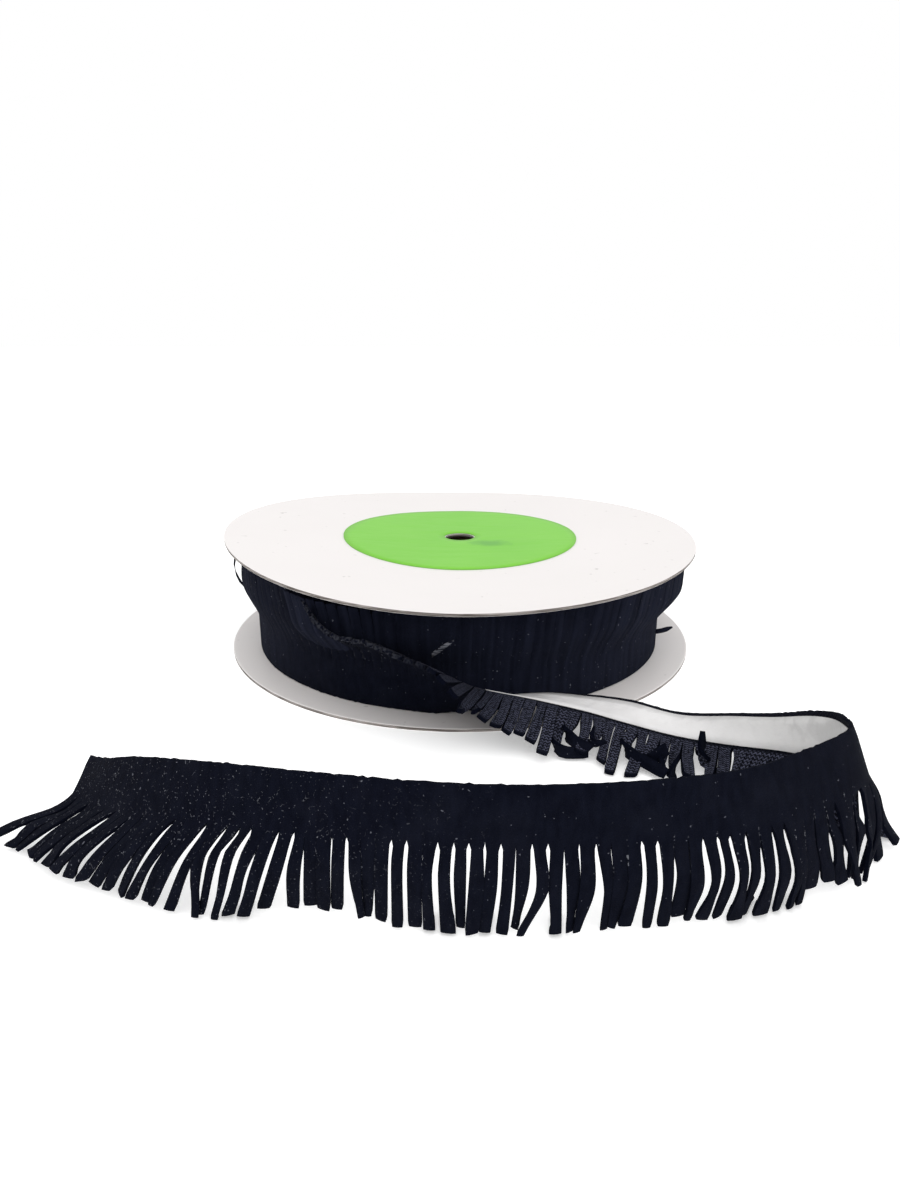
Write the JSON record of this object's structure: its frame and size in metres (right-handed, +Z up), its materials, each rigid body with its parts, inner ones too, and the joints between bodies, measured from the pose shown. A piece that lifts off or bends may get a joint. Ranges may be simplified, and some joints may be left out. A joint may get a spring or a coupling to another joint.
{
  "type": "suede fringe trim on a flanged spool",
  "caption": "Slit suede fringe trim with an adhesive header, wound on a white board spool with a round label, its loose end curving out in front.",
  "frame": {"origin": "middle of the whole object's footprint, on the surface that the spool and the loose end stand on", "axes": "+Z up along the spool's axis, the loose end lies towards -Y, +X to its right seen from there"},
  "size_m": [0.1847, 0.2291, 0.0336],
  "materials": {
    "suede": "near-black navy napped suede",
    "tape": "pale glossy release liner",
    "board": "smooth white-faced paperboard",
    "kraft": "grey-brown wound paper tube",
    "label": "lime green paper"
  },
  "bodies": {
    "root": {"flange_lower": "board", "flange_upper": "board", "core": "kraft", "label": "label", "roll": "suede", "header": "suede", "tape": "tape", "fringe_peel_left": "suede", "fringe_peel_mid": "suede", "fringe_peel_right": "suede", "fringe_peel_foot": "suede", "fringe_back_left": "suede", "fringe_back_right": "suede", "fringe_turn_back": "suede", "fringe_turn_right": "suede", "fringe_turn_nose": "suede", "fringe_turn_front": "suede", "fringe_front_right": "suede", "fringe_front_mid_right": "suede", "fringe_front_mid_left": "suede", "fringe_front_left": "suede", "fringe_end": "suede"}
  },
  "joints": []
}
